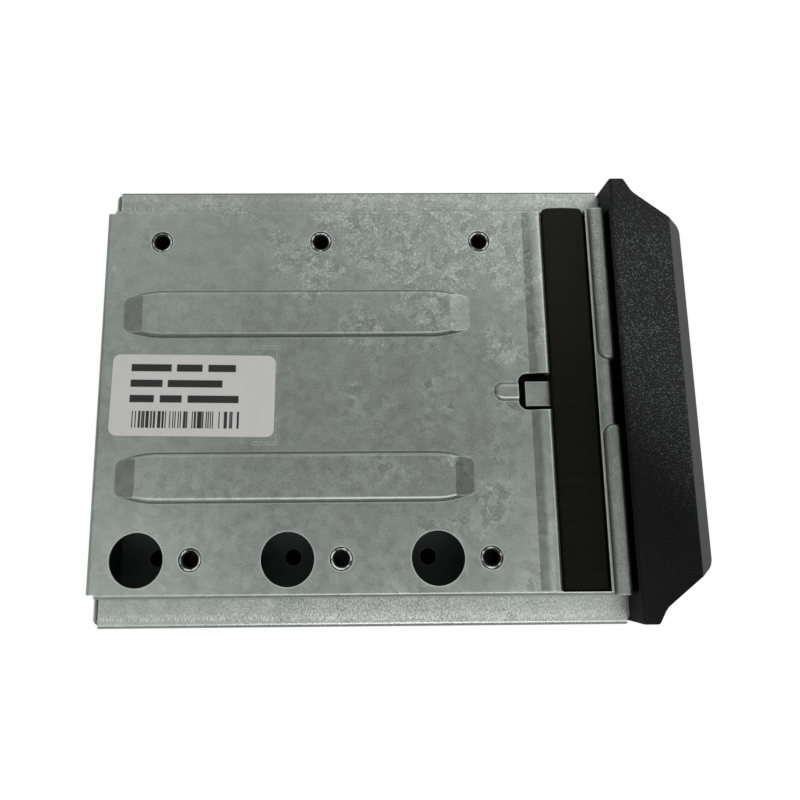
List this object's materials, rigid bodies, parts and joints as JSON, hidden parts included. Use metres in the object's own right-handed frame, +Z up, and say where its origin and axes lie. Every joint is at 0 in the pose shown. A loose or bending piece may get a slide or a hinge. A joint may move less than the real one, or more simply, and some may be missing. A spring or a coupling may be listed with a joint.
{
  "type": "blade blank filler",
  "caption": "Folded steel box with a ribbed cover, a tray, threaded standoffs, a gasket strip and a black moulded front bezel that fills an empty bay of a server enclosure.",
  "frame": {"origin": "centre of the part's box at the tray's underside, on which the part lies", "axes": "+X towards the front bezel, +Z up out of the ribbed cover, +Y across towards the far row of standoffs"},
  "size_m": [0.1846, 0.1386, 0.0445],
  "materials": {
    "galvanised_sheet": "zinc spangle, satin",
    "standoff_steel": "turned and plated",
    "gasket_foam": "matte foam strip",
    "bezel_plastic": "fine moulded grain",
    "label_paper": "matte paper"
  },
  "bodies": {
    "root": {"side_cover": "galvanised_sheet", "base_tray": "galvanised_sheet", "gasket_bracket": "galvanised_sheet", "standoffs": "standoff_steel", "skirt_rivets": "standoff_steel", "front_gasket": "gasket_foam", "front_bezel": "bezel_plastic", "spare_label": "label_paper"}
  },
  "joints": []
}
